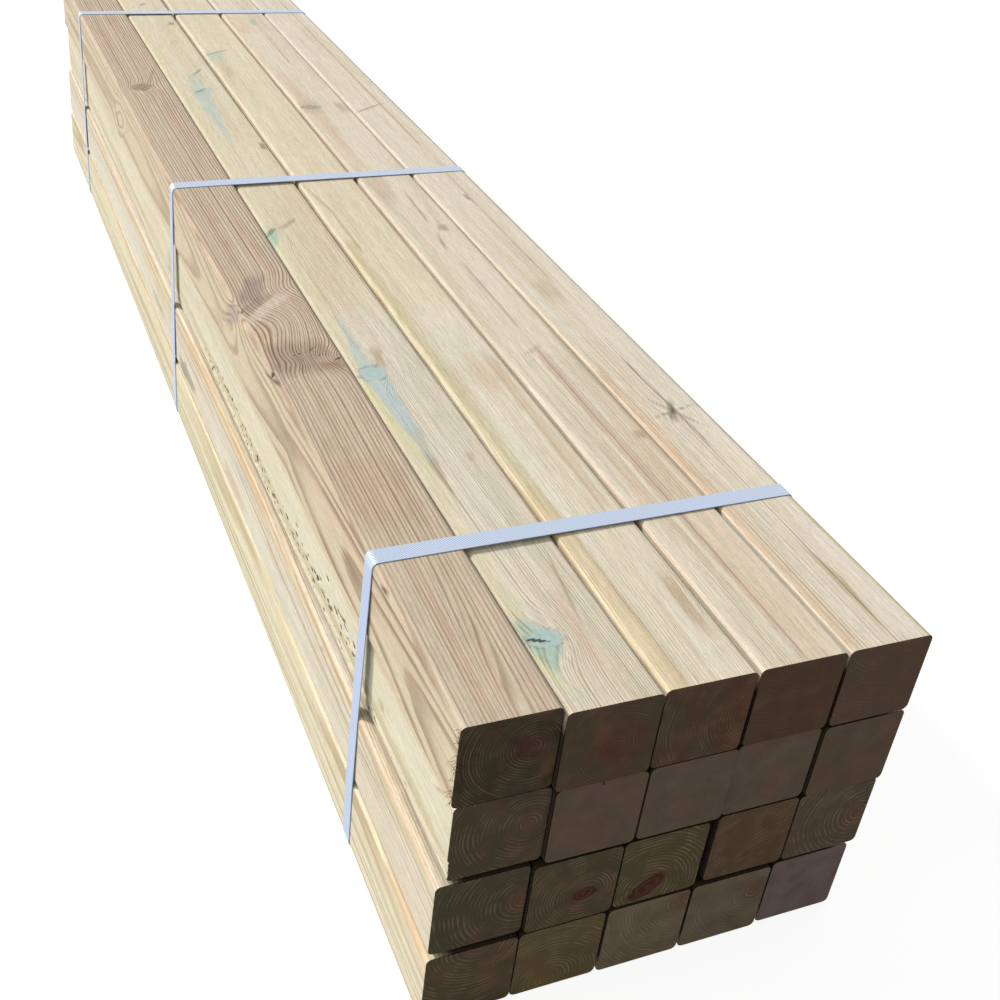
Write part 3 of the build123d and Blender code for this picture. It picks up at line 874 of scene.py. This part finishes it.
def strap_plastic(name, skew):
    """White polypropylene band: a cool, slightly glossy plastic with fine slanting ribs.

    The real ribs stand about 1.2 mm apart. They are drawn at 2 mm, so that they show, and they are
    pulled flatter on the upright runs. Their crests are painted paler than their hollows, as painted
    light and shade. Round an arris the stretched plastic turns whiter.
    """
    material, tree = blank_material(name)
    place = add(tree, "TexCoord", {}, "Object")
    place = add(tree, "VectorMath", {0: place, "Scale": 1 / mm}, operation="SCALE")
    x, y, z = add(tree, "SeparateXYZ", (place,), slice(3))
    normal = add(tree, "NewGeometry", {}, "Normal")
    facing = add(tree, "SeparateXYZ", (normal,), slice(3))
    facing_ends, facing_up = [add(tree, "Math", (part,), operation="ABSOLUTE") for part in facing[1:]]
    level = add(tree, "MapRange", (facing_up, 0.6, 0.8), interpolation_type="SMOOTHSTEP")
    broad = add(tree, "MapRange", (facing_ends, 0.9, 0.7), interpolation_type="SMOOTHSTEP")
    upright = add(tree, "Math", (1.0, level), operation="SUBTRACT")

    left, right, top = cad_low[0] / mm, cad_high[0] / mm, cad_high[2] / mm
    across = add(tree, "Math", (x, -skew / (right - left), y), operation="MULTIPLY_ADD")
    along = add(tree, "Math", (z, upright), operation="MULTIPLY")
    along = add(tree, "Math", (x, level, along), operation="MULTIPLY_ADD")
    slanted = add(tree, "Math", (across, 0.45, along), operation="MULTIPLY_ADD")
    turn = add(tree, "Math", (slanted, 2 * pi / rib_spacing), operation="MULTIPLY")
    wave = add(tree, "Math", (turn,), operation="SINE")
    ribs = add(tree, "MapRange", (wave, -1.0, 1.0), interpolation_type="SMOOTHSTEP")
    flatter = add(tree, "Math", (level, 0.75, 0.25), operation="MULTIPLY_ADD")
    ribs = add(tree, "Math", (ribs, flatter), operation="MULTIPLY")
    ribs = add(tree, "Math", (ribs, broad), operation="MULTIPLY")

    beyond = [add(tree, "Math", limits, operation="SUBTRACT")
              for limits in ((left + bend_reach, x), (x, right - bend_reach),
                             (bend_reach, z), (z, top - bend_reach))]
    sideways = add(tree, "Math", beyond[:2], operation="MAXIMUM")
    upwards = add(tree, "Math", beyond[2:], operation="MAXIMUM")
    corner = add(tree, "Math", (sideways, upwards), operation="MINIMUM")
    bent = add(tree, "MapRange", (corner, -1.0, 6.0), interpolation_type="SMOOTHSTEP")
    scuff = in_places(tree, place, (5, 3, 5), 3.0, 0.5, 0.75, 0.0, 0.4, 0.6)
    # The ribs' coat is painted light and shade: pale crests and darker hollows, under the same bump.
    colour = coated(tree, linear("#aebfdc"), (ribs, linear("#dbe6f6")), (bent, linear("#d3e2e2")),
                    (scuff, linear("#cdd3e6")))
    bump = add(tree, "Bump", {"Height": ribs, "Strength": 0.7, "Distance": 0.15 * mm})
    shader = add(tree, "BsdfPrincipled", {"Base Color": colour, "Roughness": 0.42, "IOR": 1.49,
                                          "Specular IOR Level": 0.4, "Normal": bump})
    add(tree, "OutputMaterial", {"Surface": shader})
    return material


for name, skew in (("strap_front", 8), ("strap_middle", 22), ("strap_back", 24)):
    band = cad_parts[name].data
    band.materials.clear()
    band.materials.append(strap_plastic(name.replace("strap", "embossed_polypropylene"), skew))


# A plain pale floor, which keeps the bundle's shadow.
def seen_directly(tree):
    """1 where the camera, a reflection or a clear material looks straight at the background."""
    camera, glossy, through = [add(tree, "LightPath", {}, f"Is {ray} Ray")
                               for ray in ("Camera", "Glossy", "Transmission")]
    seen = add(tree, "Math", (camera, glossy), operation="MAXIMUM")
    return add(tree, "Math", (seen, through), operation="MAXIMUM")


def pale_floor():
    """White to the camera, and grey to the light that it throws back on the bundle's shaded end."""
    material, tree = blank_material("pale_floor")
    surface = add(tree, "BsdfDiffuse", {"Color": (0.32, 0.32, 0.32, 1)})
    strength = add(tree, "Math", (seen_directly(tree), 0.86), operation="MULTIPLY")
    glow = add(tree, "Emission", {"Color": (1, 1, 1, 1), "Strength": strength})
    both = add(tree, "AddShader", (surface, glow))
    add(tree, "OutputMaterial", {"Surface": both})
    return material


floor_half = 12.0
floor_mesh = bpy.data.meshes.new("floor")
floor_mesh.from_pydata([(-floor_half, -floor_half, 0), (floor_half, -floor_half, 0),
                        (floor_half, floor_half, 0), (-floor_half, floor_half, 0)], [], [(0, 1, 2, 3)])
floor_mesh.materials.append(pale_floor())
floor = bpy.data.objects.new("floor", floor_mesh)
bpy.context.scene.collection.objects.link(floor)

# Soft studio light from behind on the left, so the front end stands in shade: a far lamp that reads
# as one broad source, a near one beside the stack, and a white surround.
world = bpy.data.worlds.new("studio")
bpy.context.scene.world = world
world.use_nodes = True
tree = world.node_tree
tree.nodes.clear()
strength = add(tree, "Math", (seen_directly(tree), 0.63, 0.37), operation="MULTIPLY_ADD")
sky = add(tree, "Background", {"Color": (1, 1, 1, 1), "Strength": strength})
add(tree, "OutputWorld", {"Surface": sky})


def soft_light(name, kind, position, power, **shape):
    """A lamp that faces the bundle."""
    lamp = bpy.data.lights.new(name, kind)
    lamp.energy = power
    for setting, value in shape.items():
        setattr(lamp, setting, value)
    holder = bpy.data.objects.new(name, lamp)
    facing = Vector(position).to_track_quat("Z", "Y").to_matrix().to_4x4()
    holder.matrix_world = Matrix.Translation(position) @ facing
    bpy.context.scene.collection.objects.link(holder)


soft_light("key", "SUN", (-5.5, 6.6, 5.6), 2.97, angle=radians(12))
soft_light("side", "AREA", (-4.0, -0.6, 1.8), 36, size=2.4)

bpy.context.scene.view_settings.view_transform = "Standard"

# The camera stands where the photo was taken from, above the left of the front end.
camera_place = Vector((-0.4268, -1.4167, 0.8380))
camera_right = Vector((0.91907, -0.37948, 0.10631)).normalized()
camera_ahead = Vector((0.37195, 0.7461, -0.55225)).normalized()
camera_up = camera_right.cross(camera_ahead)
camera = bpy.data.cameras.new("camera")
camera.lens = 47.14
camera.sensor_width = 36
camera.clip_start = 0.05
eye = bpy.data.objects.new("camera", camera)
turn = Matrix((camera_right, camera_up, -camera_ahead)).transposed().to_4x4()
eye.matrix_world = Matrix.Translation(camera_place) @ turn
bpy.context.scene.collection.objects.link(eye)
bpy.context.scene.camera = eye
